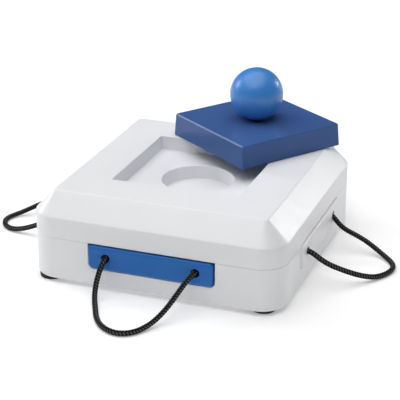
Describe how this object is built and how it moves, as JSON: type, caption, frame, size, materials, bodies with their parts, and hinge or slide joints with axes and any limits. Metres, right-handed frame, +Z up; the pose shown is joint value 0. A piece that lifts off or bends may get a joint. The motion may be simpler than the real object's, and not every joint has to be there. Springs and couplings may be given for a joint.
{
  "type": "dog puzzle toy",
  "caption": "Square treat puzzle for a dog: a housing with a treat well under a lift-off lid with a ball handle, and rope-pulled drawers in its sides.",
  "frame": {"origin": "on the table under the middle of the square housing, in the plane of the feet", "axes": "+Z up, -Y towards the front drawer, +X towards the right drawer"},
  "size_m": [0.3291, 0.298, 0.1313],
  "materials": {
    "housing_white": "fine moulded satin",
    "drawer_blue": "moulded satin",
    "drawer_white": "fine moulded satin",
    "lid_blue": "fine moulded satin",
    "knob_blue": "satin",
    "rope_black": "laid cord",
    "foot_rubber": "matte",
    "screw_steel": "zinc plated"
  },
  "bodies": {
    "housing": {"top_shell": "housing_white", "base_shell": "housing_white", "foot_front_left": "foot_rubber", "foot_front_right": "foot_rubber", "foot_rear_left": "foot_rubber", "foot_rear_right": "foot_rubber", "housing_screws": "screw_steel"},
    "lid": {"lid_shell": "lid_blue", "ball_knob": "knob_blue", "knob_screw": "screw_steel", "knob_washer": "screw_steel"},
    "front_drawer": {"drawer_front": "drawer_blue", "rope_front": "rope_black", "knots_front": "rope_black"},
    "left_drawer": {"drawer_left": "drawer_white", "rope_left": "rope_black", "knots_left": "rope_black"},
    "right_drawer": {"drawer_right": "drawer_white", "rope_right": "rope_black", "knots_right": "rope_black"}
  },
  "joints": [
    {"name": "lid_lift", "type": "slide", "parent": "housing", "child": "lid", "axis": [0, 0, 1], "range_m": [0, 0.12]},
    {"name": "front_drawer_slide", "type": "slide", "parent": "housing", "child": "front_drawer", "axis": [0, -1, 0], "range_m": [0, 0.032]},
    {"name": "left_drawer_slide", "type": "slide", "parent": "housing", "child": "left_drawer", "axis": [-1, 0, 0], "range_m": [0, 0.032]},
    {"name": "right_drawer_slide", "type": "slide", "parent": "housing", "child": "right_drawer", "axis": [1, 0, 0], "range_m": [0, 0.032]}
  ]
}
